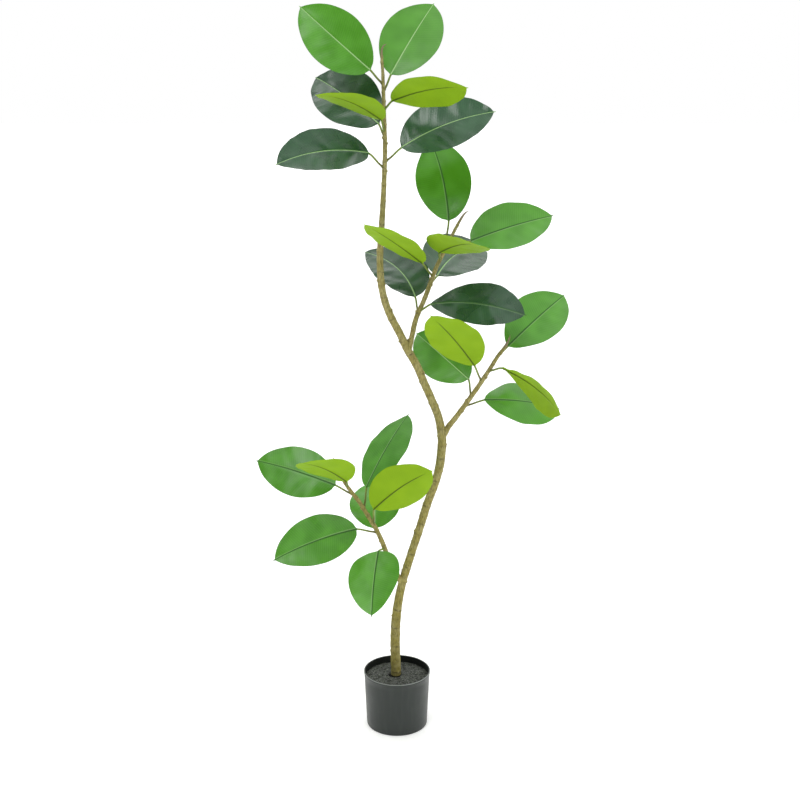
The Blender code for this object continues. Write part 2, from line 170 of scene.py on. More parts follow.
def new_material(name, roughness, ior):
    """An empty Principled material, with its tree and its shader."""
    material = bpy.data.materials.new(name)
    material.use_nodes = True
    tree = material.node_tree
    shader = tree.nodes["Principled BSDF"]
    shader.inputs["Roughness"].default_value = roughness
    shader.inputs["IOR"].default_value = ior
    return material, tree, shader


def paint(tree, shader, base, coats, height, distance):
    """Lay coats, each a share and a colour, over the base colour, and bump it by height times
    distance."""
    for share, tint in coats:
        base = add_node(tree, "Mix", {0: share, 6: base, 7: tint}, 2, data_type="RGBA")
    tree.links.new(base, shader.inputs["Base Color"])
    bump = add_node(tree, "Bump", {"Height": height, "Distance": distance})
    tree.links.new(bump, shader.inputs["Normal"])


def leaf_place(tree):
    """A point's place on its leaf, along and across in metres, and the leaf's own tone from -1 to 1 and
    the strength of the painted shade in its midrib groove from 0 to 1."""
    place = add_node(tree, "Attribute", attribute_name="leaf_place", output=1)
    habit = add_node(tree, "Attribute", attribute_name="leaf_tone_and_groove_shade", output=1)
    spot = add_node(tree, "SeparateXYZ", {0: place}).node
    kind = add_node(tree, "SeparateXYZ", {0: habit}).node
    return spot.outputs[0], spot.outputs[1], kind.outputs[0], kind.outputs[1]


def leaf_clouds(tree, along, across, size):
    """Soft patches on the flat leaf, with features size metres across."""
    flat = add_node(tree, "CombineXYZ", {0: along, 1: across})
    return add_node(tree, "TexNoise", {"Vector": flat, "Scale": 1.0 / size, "Detail": 1.0})


def side_veins(tree, along, across, spacing):
    """1 on the thin side veins, which leave the midrib every spacing metres and slant to the tip."""
    wander = add_node(tree, "Math", {0: leaf_clouds(tree, along, across, 60 * MM), 1: 6 * MM},
                      operation="MULTIPLY")
    reach = add_node(tree, "Math", {0: across}, operation="ABSOLUTE")
    slanted = add_node(tree, "Math", {0: reach, 1: -VEIN_SLANT, 2: along}, operation="MULTIPLY_ADD")
    place = add_node(tree, "Math", {0: slanted, 1: wander}, operation="ADD")
    turns = add_node(tree, "Math", {0: place, 1: spacing}, operation="DIVIDE")
    phase = add_node(tree, "Math", {0: turns}, operation="FRACT")
    offset = add_node(tree, "Math", {0: phase, 1: 0.5}, operation="SUBTRACT")
    distance = add_node(tree, "Math", {0: offset}, operation="ABSOLUTE")
    return add_node(tree, "MapRange", {0: distance, 1: 0.0, 2: 0.25, 3: 1.0, 4: 0.0}, **SMOOTH)


def midrib_line(tree, along, across, wide, narrow, soft=0.5):
    """1 on the midrib, whose half-width goes from wide at the foot to narrow 180 mm on."""
    half = add_node(tree, "MapRange", {0: along, 1: 0.0, 2: 180 * MM, 3: wide, 4: narrow})
    reach = add_node(tree, "Math", {0: across}, operation="ABSOLUTE")
    share = add_node(tree, "Math", {0: reach, 1: half}, operation="DIVIDE")
    return add_node(tree, "MapRange", {0: share, 1: soft, 2: 1.0, 3: 1.0, 4: 0.0}, **SMOOTH)


def upper_leaf_material(name, light, deep, roughness, rib_strength, vein_strength):
    """Living leaf under its own wax: the smooth cuticle gives a soft, wide sheen, and the eye finds a
    pale sunken midrib with painted shade in its groove, and side veins as the faintest threads."""
    look = settings("leaves")
    material, tree, shader = new_material(name, roughness, 1.5)
    along, across, tone, groove = leaf_place(tree)
    clouds = leaf_clouds(tree, along, across, 45 * MM)
    toned = add_node(tree, "Math", {0: tone, 1: 0.16, 2: clouds}, operation="MULTIPLY_ADD")
    patch = add_node(tree, "MapRange", {0: toned, 1: 0.15, 2: 0.85})
    base = add_node(tree, "Mix", {0: patch, 6: deep, 7: light}, 2, data_type="RGBA")
    veins = side_veins(tree, along, across, look.vein_spacing)
    thread = add_node(tree, "Math", {0: veins, 1: vein_strength}, operation="MULTIPLY")
    # Painted shade along the midrib's groove, stronger on the leaves listed for it.
    shaded = midrib_line(tree, along, across, 3.4 * MM, 1.3 * MM, soft=0.3)
    shade = add_node(tree, "MapRange", {0: groove, 3: 0.35, 4: 0.95})
    shaded = add_node(tree, "Math", {0: shaded, 1: shade}, operation="MULTIPLY")
    # Where the groove's painted shade is strong, the pale line is weak and lies on the groove's side
    # wall, partly the rib's own pale colour and partly a painted highlight on that wall.
    beside = add_node(tree, "Math", {0: groove, 1: 2.2 * MM, 2: across}, operation="MULTIPLY_ADD")
    rib = midrib_line(tree, along, beside, 1.7 * MM, 0.8 * MM)
    pale = add_node(tree, "MapRange", {0: groove, 3: rib_strength, 4: 0.3 * rib_strength})
    rib = add_node(tree, "Math", {0: rib, 1: pale}, operation="MULTIPLY")
    # The cuticle's own grain is finer than 0.1 mm, and is drawn 1.2 mm across so that it shows.
    fine = leaf_clouds(tree, along, across, 1.2 * MM)
    height = add_node(tree, "Math", {0: fine, 1: 0.2, 2: veins}, operation="MULTIPLY_ADD")
    paint(tree, shader, base, ((thread, look.rib), (shaded, look.groove), (rib, look.rib)),
          height, 0.04 * MM)
    gloss = add_node(tree, "MapRange", {0: clouds, 1: 0.3, 2: 0.7, 3: roughness - 0.05,
                                        4: roughness + 0.07})
    # The groove holds dust and no wax, so it draws no sheen.
    dull = add_node(tree, "Math", {0: shaded, 1: 0.4, 2: gloss}, operation="MULTIPLY_ADD")
    tree.links.new(dull, shader.inputs["Roughness"])
    return material


def under_leaf_material():
    """The matt back of a leaf: without the wax it scatters light evenly, so it is a flat yellow green
    with a dull olive midrib that stands up and dies out before the tip; the midrib's dark line is
    partly its own olive and partly painted shade of the raised rib."""
    look = settings("leaves")
    material, tree, shader = new_material("matt_leaf_underside", 0.68, 1.4)
    shader.inputs["Specular IOR Level"].default_value = 0.3
    along, across = leaf_place(tree)[:2]
    clouds = leaf_clouds(tree, along, across, 50 * MM)
    patch = add_node(tree, "MapRange", {0: clouds, 1: 0.2, 2: 0.8})
    base = add_node(tree, "Mix", {0: patch, 6: look.under_deep, 7: look.under}, 2, data_type="RGBA")
    veins = side_veins(tree, along, across, look.vein_spacing)
    thread = add_node(tree, "Math", {0: veins, 1: 0.06}, operation="MULTIPLY")
    # The midrib line: partly the rib's own olive, partly painted shade of the raised rib.
    rib = midrib_line(tree, along, across, 2.7 * MM, 1.1 * MM)
    fade = add_node(tree, "MapRange", {0: along, 1: 135 * MM, 2: 170 * MM, 3: 0.9, 4: 0.0}, **SMOOTH)
    rib = add_node(tree, "Math", {0: rib, 1: fade}, operation="MULTIPLY")
    # The back's own grain is finer than 0.1 mm too, and is drawn 1.4 mm across.
    fine = leaf_clouds(tree, along, across, 1.4 * MM)
    height = add_node(tree, "Math", {0: fine, 1: 0.4, 2: veins}, operation="MULTIPLY_ADD")
    paint(tree, shader, base, ((thread, look.under_vein_and_rib_shade), (rib, look.under_vein_and_rib_shade)), height, 0.06 * MM)
    return material


def stalk_material():
    """Green leaf stalk: a smooth skin duller than the blade, flecked, and browned at its foot."""
    look = settings("leaves")
    material, tree, shader = new_material("green_leaf_stalk", 0.5, 1.42)
    along = leaf_place(tree)[0]
    place = add_node(tree, "TexCoord", output=3)
    fleck = add_node(tree, "TexNoise", {"Vector": place, "Scale": 250.0})     # 4 mm flecks
    patch = add_node(tree, "MapRange", {0: fleck, 1: 0.35, 2: 0.75, 3: 0.0, 4: 0.5})
    base = add_node(tree, "Mix", {0: patch, 6: look.stalk, 7: look.stalk_foot}, 2, data_type="RGBA")
    foot = add_node(tree, "MapRange", {0: along, 1: -34 * MM, 2: -14 * MM, 3: 0.8, 4: 0.0})
    paint(tree, shader, base, ((foot, look.stalk_foot),), fleck, 0.15 * MM)
    return material


def bark_material():
    """Young fig bark: thin, dull and olive, cracked fine along the stem, dusty in fine specks, with
    dark leaf scars, a painted highlight on each scar's nub and papery brown growing tips; below the
    soil's top the trunk's foot carries painted shade."""
    look = settings("stems")
    material, tree, shader = new_material("olive_fig_bark", 0.8, 1.45)
    place = add_node(tree, "TexCoord", output=3)
    lengthwise = add_node(tree, "Mapping", {"Vector": place, "Scale": (1.0, 1.0, 0.25)})
    marks = add_node(tree, "Attribute", attribute_name="bark_marks_and_nub_highlight", output=1)
    mark = add_node(tree, "SeparateXYZ", {0: marks}).node.outputs
    blotch = add_node(tree, "TexNoise", {"Vector": place, "Scale": 60.0, "Detail": 3.0})   # 17 mm
    grain = add_node(tree, "TexNoise", {"Vector": lengthwise, "Scale": 420.0, "Detail": 4.0})  # 2 mm
    speck = add_node(tree, "TexNoise", {"Vector": place, "Scale": 700.0, "Detail": 1.0})   # 1.5 mm
    patch = add_node(tree, "MapRange", {0: blotch, 1: 0.38, 2: 0.68}, **SMOOTH)
    # The bark is younger, thinner and paler the higher up it is.
    height = add_node(tree, "SeparateXYZ", {0: place}, 2)
    young = add_node(tree, "MapRange", {0: height, 1: 0.3, 2: 1.2, 3: 0.0, 4: 0.45})
    patch = add_node(tree, "Math", {0: patch, 1: 0.6, 2: young}, operation="MULTIPLY_ADD")
    base = add_node(tree, "Mix", {0: patch, 6: look.bark, 7: look.bark_pale_and_nub_highlight}, 2, data_type="RGBA")
    crack = add_node(tree, "MapRange", {0: grain, 1: 0.38, 2: 0.56, 3: 0.5, 4: 0.0})
    dust = add_node(tree, "MapRange", {0: speck, 1: 0.58, 2: 0.72, 3: 0.0, 4: 0.5})
    # Painted shade: just below the soil's top the trunk is painted near black, for the shade down in
    # the gap round it.
    foot_shade = add_node(tree, "MapRange", {0: height, 1: SOIL_HIGH.z - 3.0 * MM, 2: SOIL_HIGH.z - 1.5 * MM,
                                        3: 0.95, 4: 0.0})
    # The marks' third share is a painted highlight on the scar nubs.
    coats = ((crack, look.bark_dark), (dust, look.bark_pale_and_nub_highlight), (mark[0], look.bark_dark),
             (mark[2], look.bark_pale_and_nub_highlight), (mark[1], look.bud), (foot_shade, settings("pot").pit_shade_black))
    relief = add_node(tree, "Math", {0: speck, 1: 0.4, 2: grain}, operation="MULTIPLY_ADD")
    paint(tree, shader, base, coats, relief, 0.8 * MM)
    return material


def soil_material():
    """Peat and coir sieved fine and dried: dull mid grey, with paler grains, painted shade in the gaps
    between the grains, and painted shade, near black, down in the gap round the trunk."""
    look = settings("pot")
    material, tree, shader = new_material("sieved_potting_mix", 0.95, 1.35)
    place = add_node(tree, "TexCoord", output=3)
    cells = add_node(tree, "TexVoronoi", {"Vector": place, "Scale": 1.0 / look.grain}).node.outputs
    clumps = add_node(tree, "TexNoise", {"Vector": place, "Scale": 160.0})    # 6 mm clumps
    patch = add_node(tree, "MapRange", {0: clumps, 1: 0.3, 2: 0.6}, **SMOOTH)
    base = add_node(tree, "Mix", {0: patch, 6: look.soil_dark_and_gap_shade, 7: look.soil}, 2, data_type="RGBA")
    pick = add_node(tree, "SeparateColor", {0: cells["Color"]})
    pale = add_node(tree, "MapRange", {0: pick, 1: 0.60, 2: 0.95, 3: 0.0, 4: 0.8})
    # Painted shade in the gaps between the grains, where the surface dips.
    gap_shade = add_node(tree, "MapRange", {0: cells["Distance"], 1: 0.5, 2: 0.8, 3: 0.0, 4: 0.75})
    level = add_node(tree, "SeparateXYZ", {0: place}, 2)
    # Painted shade: down in the gap round the trunk the soil is painted near black.
    pit_shade = add_node(tree, "MapRange", {0: level, 1: SOIL_HIGH.z - 4.0 * MM, 2: SOIL_HIGH.z - 2.4 * MM,
                                      3: 0.95, 4: 0.0})
    height = add_node(tree, "Math", {0: 1.0, 1: cells["Distance"]}, operation="SUBTRACT")
    paint(tree, shader, base, ((pale, look.soil_pale), (gap_shade, look.soil_dark_and_gap_shade), (pit_shade, look.pit_shade_black)),
          height, 0.8 * MM)
    return material


def pot_material():
    """Injection moulded polypropylene with carbon black: satin, faintly uneven where it shrank in the
    mould, with the mould's fine texture and a little soil dust in streaks. The inner wall is painted
    darker as painted shade, and the lip's outer edge carries a painted highlight."""
    look = settings("pot")
    material, tree, shader = new_material("satin_moulded_polypropylene", 0.38, 1.49)
    place = add_node(tree, "TexCoord", output=3)
    tall = add_node(tree, "Mapping", {"Vector": place, "Scale": (1.0, 1.0, 0.12)})
    shrink = add_node(tree, "TexNoise", {"Vector": place, "Scale": 26.0})     # 40 mm shrink marks
    streak = add_node(tree, "TexNoise", {"Vector": tall, "Scale": 110.0})     # 9 mm streaks
    # The mould's texture is about 0.05 mm, and is drawn 0.8 mm across so that it shows.
    grit = add_node(tree, "TexNoise", {"Vector": place, "Scale": 1250.0, "Detail": 1.0})
    dust = add_node(tree, "MapRange", {0: streak, 1: 0.45, 2: 0.8, 3: 0.0, 4: 0.04})
    spot = add_node(tree, "SeparateXYZ", {0: place}).node.outputs
    level = add_node(tree, "CombineXYZ", {0: spot[0], 1: spot[1]})
    reach = add_node(tree, "VectorMath", {0: level}, 1, operation="LENGTH")
    # Painted shade: the inner wall is painted near black for the shade inside the pot.
    facing = add_node(tree, "VectorMath", {0: add_node(tree, "NewGeometry", output=1), 1: level}, 1,
                      operation="DOT_PRODUCT")
    inner = add_node(tree, "MapRange", {0: facing, 1: -30 * MM, 2: -10 * MM, 3: 0.85, 4: 0.0})
    # Painted highlight: a pale line along the lip's outer edge, where the light catches it.
    high = add_node(tree, "MapRange", {0: spot[2], 1: POT_HIGH.z - 1.6 * MM, 2: POT_HIGH.z - 0.6 * MM})
    outer = add_node(tree, "MapRange", {0: reach, 1: POT_HIGH.x - 1.6 * MM, 2: POT_HIGH.x - 0.6 * MM,
                                        3: 0.0, 4: 0.85})
    painted_highlight = add_node(tree, "Math", {0: high, 1: outer}, operation="MULTIPLY")
    satin = add_node(tree, "MapRange", {0: shrink, 1: 0.3, 2: 0.7, 3: 0.34, 4: 0.44})
    rough = add_node(tree, "Math", {0: dust, 1: satin}, operation="ADD")
    tree.links.new(rough, shader.inputs["Roughness"])
    height = add_node(tree, "Math", {0: grit, 1: 0.2, 2: shrink}, operation="MULTIPLY_ADD")
    coats = ((dust, look.soil_pale), (inner, look.plastic_inside_shade), (painted_highlight, look.plastic_lip_highlight))
    paint(tree, shader, look.plastic, coats, height, 0.25 * MM)
    return material


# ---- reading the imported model
def merged_copy(node):
    """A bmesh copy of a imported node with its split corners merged."""
    bm = bmesh.new()
    bm.from_mesh(frame["nodes"][node].data)
    bmesh.ops.remove_doubles(bm, verts=bm.verts, dist=1e-6)
    return bm


def layers_from(start, sides):
    """Rings of vertices in steps from start, for as long as each step is one ring of sides vertices."""
    seen, layer, rings = {start}, [start], []
    while True:
        found = []
        for vertex in layer:
            for edge in vertex.link_edges:
                other = edge.other_vert(vertex)
                if other not in seen:
                    seen.add(other)
                    found.append(other)
        ring = walk_round(found) if len(found) == sides else None
        if ring is None:
            return rings
        rings.append([vertex.co.copy() for vertex in ring])
        layer = found


def walk_round(layer):
    """A layer's vertices in order round their ring, or None where they don't make a ring."""
    members, ordered = set(layer), [layer[0]]
    while len(ordered) < len(layer):
        ahead = [edge.other_vert(ordered[-1]) for edge in ordered[-1].link_edges
                 if edge.other_vert(ordered[-1]) in members
                 and edge.other_vert(ordered[-1]) not in ordered
                 and any(vertex not in members for face in edge.link_faces for vertex in face.verts)]
        if not ahead:
            return None
        ordered.append(ahead[0])
    return ordered


def rings_of(node, sides):
    """Rings of a packed stem or leaf from its foot up, numbered alike, then its tip, and the places of
    the vertices that belong to no ring."""
    bm = merged_copy(node)
    starts = [vertex for vertex in bm.verts if len(vertex.link_edges) == sides]
    rings, tip = max(((layers_from(vertex, sides), vertex) for vertex in starts),
                     key=lambda pair: len(pair[0]))
    number_alike(rings, 0)
    used = {tuple(point) for ring in rings for point in ring} | {tuple(tip.co)}
    rest = [vertex.co.copy() for vertex in bm.verts if tuple(vertex.co) not in used]
    tip = tip.co.copy()
    bm.free()
    return rings[::-1], tip, rest


def orders(ring):
    """Every way to number a ring: each start, both ways round."""
    for way in (ring, ring[::-1]):
        for start in range(len(ring)):
            yield way[start:] + way[:start]


def centre_of(points):
    return sum(points, Vector()) / len(points)


def matched(ring, guide):
    """The numbering of a ring that lies closest to the guide ring."""
    shift = centre_of(guide) - centre_of(ring)
    return min(orders(ring), key=lambda way: sum((a + shift - b).length_squared
                                                 for a, b in zip(way, guide)))


def number_alike(rings, guide):
    """Number all rings like the one at index guide, step by step away from it."""
    for index in [*range(guide - 1, -1, -1), *range(guide + 1, len(rings))]:
        rings[index] = matched(rings[index], rings[index + (1 if index < guide else -1)])


def foot_order(ring):
    """Number the ring at a blade's foot: 0 to 4 lie level across the top and 6 is the rib below."""
    def unevenness(way):
        middle = (way[0] + way[4]) / 2
        level = sum((way[i] - way[0].lerp(way[4], i / 4)).length for i in (1, 2, 3))
        return level - (way[6] - middle).length
    return min(orders(ring), key=unevenness)


# ---- curves and skins
def smoothstep(value, low, high):
    share = min(1.0, max(0.0, (value - low) / (high - low)))
    return share * share * (3.0 - 2.0 * share)


def measured(points):
    """Distances along a line of points, from 0 at the first."""
    knots = [0.0]
    for low, high in zip(points, points[1:]):
        knots.append(knots[-1] + (high - low).length)
    return knots


def spline(knots, values, at):
    """Cubic through values at increasing knots, with slopes from each knot's two neighbours."""
    at = min(max(at, knots[0]), knots[-1])
    index = next((i for i in range(len(knots) - 2) if at < knots[i + 1]), len(knots) - 2)

    def slope(i):
        low, high = max(i - 1, 0), min(i + 1, len(knots) - 1)
        return (values[high] - values[low]) / (knots[high] - knots[low])

    span = knots[index + 1] - knots[index]
    t = (at - knots[index]) / span
    ease = 3 * t ** 2 - 2 * t ** 3
    return (values[index] * (1 - ease) + values[index + 1] * ease
            + slope(index) * (span * (t ** 3 - 2 * t ** 2 + t))
            + slope(index + 1) * (span * (t ** 3 - t ** 2)))


def rolled_skin(rows, columns, place, layers, tag=None):
    """A closed skin: a grid of rows by columns rolled into a tube and shut at its ends. place gives a
    point and its layers' values from row and column, and tag gives the material of a face."""
    bm = bmesh.new()
    bmesh.ops.create_grid(bm, x_segments=columns, y_segments=rows, size=1.0)
    channels = [bm.verts.layers.float_vector.new(name) for name in layers]
    if tag:
        for face in bm.faces:
            middle = face.calc_center_median()
            face.material_index = tag((middle.y + 1) / 2 * rows, (middle.x + 1) / 2 * columns)
    for vertex in bm.verts:
        row, column = round((vertex.co.y + 1) / 2 * rows), round((vertex.co.x + 1) / 2 * columns)
        vertex.co, *values = place(row, column % columns)
        for channel, value in zip(channels, values):
            vertex[channel] = value
    bmesh.ops.remove_doubles(bm, verts=bm.verts, dist=1e-7)
    bmesh.ops.holes_fill(bm, edges=[edge for edge in bm.edges if edge.is_boundary], sides=0)
    bmesh.ops.recalc_face_normals(bm, faces=bm.faces)
    if bm.calc_volume(signed=True) < 0.0:       # a thin skin can come out inside out
        bmesh.ops.reverse_faces(bm, faces=bm.faces)
    return bm


def add_object(name, data):
    """Add an object to the scene from its data, or from a bmesh, which is used up."""
    if isinstance(data, bmesh.types.BMesh):
        bm, data = data, bpy.data.meshes.new(name)
        bm.to_mesh(data)
        bm.free()
    item = bpy.data.objects.new(name, data)
    bpy.context.scene.collection.objects.link(item)
    return item


def finish_piece(name, bm, materials, node=None):
    """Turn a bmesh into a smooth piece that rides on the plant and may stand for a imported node."""
    piece = add_object(name, bm)
    for material in materials:
        piece.data.materials.append(material)
    piece.data.shade_smooth()
    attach(piece, BODY)
    if node:
        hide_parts(node)
    return piece


# ---- pot
LIP_PROUD = 0.9 * MM          # how far the lip stands out from the wall
LIP_HEIGHT = 5.0 * MM
LIP_EDGE = 0.6 * MM           # radius of the lip's edges
FLOOR_LOW, FLOOR_HIGH = 1.2 * MM, 3.0 * MM      # the floor is raised inside a foot ring
POT_STEPS = 120               # faces round the pot
DRAIN_HOLES = 6
DRAIN_RADIUS, DRAIN_CIRCLE = 4.5 * MM, 48.0 * MM


class RUBBERPLANT_OT_pot(bpy.types.Operator):
    """Make the moulded nursery pot"""
    bl_idname = "rubberplant.pot"
    bl_label = "Make Pot"

    def execute(self, context):
        wall = settings("pot").wall
        bm = merged_copy("pot")
        reach = {}
        for vertex in bm.verts:
            height = round(vertex.co.z, 5)
            reach[height] = max(reach.get(height, 0.0), vertex.co.xy.length)
        bm.free()
        heights = sorted(reach)
        knee = heights[2]                       # where the rounded foot becomes the wall
        foot = reach[knee]
        rim, top = POT_HIGH.x, POT_HIGH.z
        neck, neck_height = rim - LIP_PROUD, top - LIP_HEIGHT
        inside = neck - wall

        def arc(radius, height, size, start, end, steps=4):
            angles = [radians(start + (end - start) * step / steps) for step in range(steps + 1)]
            return [(radius + size * cos(angle), height + size * sin(angle)) for angle in angles]

        def wall_line(low, high, steps=10):
            return [(low[0] + (high[0] - low[0]) * step / steps,
                     low[1] + (high[1] - low[1]) * step / steps) for step in range(1, steps)]

        profile = [(0.0, FLOOR_LOW), (foot - 9.0 * MM, FLOOR_LOW), (foot - 7.8 * MM, 0.0)]
        profile += arc(foot - knee, knee, knee, -90, 0, 6)
        profile += wall_line((foot, knee), (neck, neck_height))
        profile += [(neck, neck_height), (neck + 0.2 * MM, neck_height + 0.2 * MM)]
        profile += arc(rim - LIP_EDGE, neck_height + 1.3 * MM, LIP_EDGE, -60, 0)
        profile += arc(rim - LIP_EDGE, top - LIP_EDGE, LIP_EDGE, 0, 90)
        profile += arc(inside + LIP_EDGE, top - LIP_EDGE, LIP_EDGE, 90, 180)
        profile += wall_line((inside, top - 3 * MM), (foot - wall, 6 * MM))
        profile += [(foot - wall - 0.6 * MM, 3.8 * MM), (foot - wall - 1.6 * MM, FLOOR_HIGH)]
        profile += [(0.0, FLOOR_HIGH)]

        bm = bmesh.new()
        points = [bm.verts.new((radius, 0.0, height)) for radius, height in profile]
        edges = [bm.edges.new(pair) for pair in zip(points, points[1:])]
        bmesh.ops.spin(bm, geom=points + edges, cent=(0, 0, 0), axis=(0, 0, 1), angle=2 * pi,
                       steps=POT_STEPS, use_merge=True)
        bmesh.ops.remove_doubles(bm, verts=bm.verts, dist=1e-6)
        bmesh.ops.recalc_face_normals(bm, faces=bm.faces)
        piece = finish_piece("nursery_pot", bm, [pot_material()], "pot")
        self.drill(piece)
        piece.data.set_sharp_from_angle(angle=radians(50))
        return {"FINISHED"}

    def drill(self, piece):
        """Cut the drain holes through the floor."""
        bm = bmesh.new()
        for index in range(DRAIN_HOLES):
            turn = Matrix.Rotation(2 * pi * index / DRAIN_HOLES, 4, "Z")
            bmesh.ops.create_cone(bm, cap_ends=True, segments=24, radius1=DRAIN_RADIUS,
                                  radius2=DRAIN_RADIUS, depth=4 * FLOOR_HIGH,
                                  matrix=turn @ Matrix.Translation((DRAIN_CIRCLE, 0, 0)))
        cutter = add_object("drain_cutter", bm)
        cut = piece.modifiers.new("drain_holes", "BOOLEAN")
        cut.object = cutter
        cut.solver = "EXACT"
        graph = bpy.context.evaluated_depsgraph_get()
        drilled = bpy.data.meshes.new_from_object(piece.evaluated_get(graph))
        piece.modifiers.remove(cut)
        bm = bmesh.new()
        bm.from_mesh(drilled)
        bmesh.ops.dissolve_degenerate(bm, dist=2e-6, edges=bm.edges)
        bm.to_mesh(drilled)
        bm.free()
        piece.data = drilled
        bpy.data.objects.remove(cutter)


# ---- soil
SOIL_GRID = 150               # faces across the soil
CRUMBS = 300
CLUMP = 9.0 * MM              # size of the soil's clumps
PIT_REACH, PIT_DEPTH = 10.0 * MM, 7.0 * MM      # the gap at the trunk's front


class RUBBERPLANT_OT_soil(bpy.types.Operator):
    """Make the potting soil and its loose crumbs"""
    bl_idname = "rubberplant.soil"
    bl_label = "Make Soil"

    def execute(self, context):
        bm = merged_copy("soil")
        radius = max(v.co.xy.length for v in bm.verts if v.co.z > SOIL_HIGH.z - 4 * MM)
        foot_radius = max(v.co.xy.length for v in bm.verts if v.co.z < SOIL_LOW.z + 1 * MM)
        bm.free()
        rings = rings_of("trunk", STEM_SIDES["trunk"])[0]
        collar = min(rings, key=lambda ring: abs(centre_of(ring).z - SOIL_HIGH.z))
        trunk = centre_of(collar)
        self.girth = (collar[0] - trunk).length

        bm = bmesh.new()
        bmesh.ops.create_grid(bm, x_segments=SOIL_GRID, y_segments=SOIL_GRID, size=1.0)
        for vertex in bm.verts:
            x, y = vertex.co.xy
            vertex.co.x = x * sqrt(1.0 - y * y / 2.0) * radius
            vertex.co.y = y * sqrt(1.0 - x * x / 2.0) * radius
            vertex.co.z = self.height(vertex.co, radius, trunk)
        rim = [edge for edge in bm.edges if edge.is_boundary]
        skirt = bmesh.ops.extrude_edge_only(bm, edges=rim)["geom"]
        for vertex in (item for item in skirt if isinstance(item, bmesh.types.BMVert)):
            vertex.co.xy *= foot_radius / radius
            vertex.co.z = SOIL_LOW.z
        bmesh.ops.holes_fill(bm, edges=[edge for edge in bm.edges if edge.is_boundary], sides=0)
        bmesh.ops.recalc_face_normals(bm, faces=bm.faces)
        material = soil_material()
        finish_piece("potting_soil", bm, [material], "soil")

        draw = random.Random(11)
        bm = bmesh.new()
        for _ in range(CRUMBS):
            turn, reach = draw.uniform(0, 2 * pi), radius * 0.96 * sqrt(draw.random())
            place = Vector((reach * cos(turn), reach * sin(turn), 0.0))
            if (place.xy - trunk.xy).length < 14 * MM:
                continue
            place.z = self.height(place, radius, trunk)
            squash = Matrix.Diagonal((draw.uniform(0.7, 1.3), draw.uniform(0.7, 1.3), 0.7, 1.0))
            twist = Matrix.Rotation(draw.uniform(0, pi), 4, (draw.random(), draw.random(), 1.0))
            bmesh.ops.create_icosphere(bm, subdivisions=1, radius=draw.uniform(0.4, 1.3) * MM,
                                       matrix=Matrix.Translation(place) @ twist @ squash)
        finish_piece("soil_crumbs", bm, [material])
        return {"FINISHED"}

    def height(self, place, radius, trunk):
        """The soil's surface: a low crown with clumps and grains, and a gap that runs round the trunk
        and is wide and deep at its front, a little to the left."""
        out = place.xy - trunk.xy
        distance = out.length
        front = max(0.0, -(out.x * 0.35 + out.y * 0.94) / max(distance, MM)) ** 0.9
        gap = self.girth + PIT_REACH * front
        edge = smoothstep(place.xy.length, 0.6 * radius, radius)
        dip = 1.0 - smoothstep(distance, gap - 1.2 * MM, gap + 1.2 * MM)
        flat = Vector((place.x, place.y, 0.0))
        clump = noise.fractal(flat / CLUMP, 0.8, 2.2, 3) * 0.5 * MM
        bits = noise.noise(flat / settings("pot").grain) * 0.45 * MM
        sunk = (0.5 * MM + PIT_DEPTH * front) * dip
        return SOIL_HIGH.z - 0.2 * MM - 1.5 * MM * edge - sunk + clump + bits


# ---- stems
STEM_ROW = 2.0 * MM           # length of a row of faces
TRUNK_COLUMNS, BRANCH_COLUMNS = 28, 20
SCAR_LENGTH = 2.4 * MM        # how far a scar spreads along the stem
SCAR_SLANT = 1.6 * MM         # how far its line rises and falls round the stem
NUB_WIDTH = 2.2 * MM


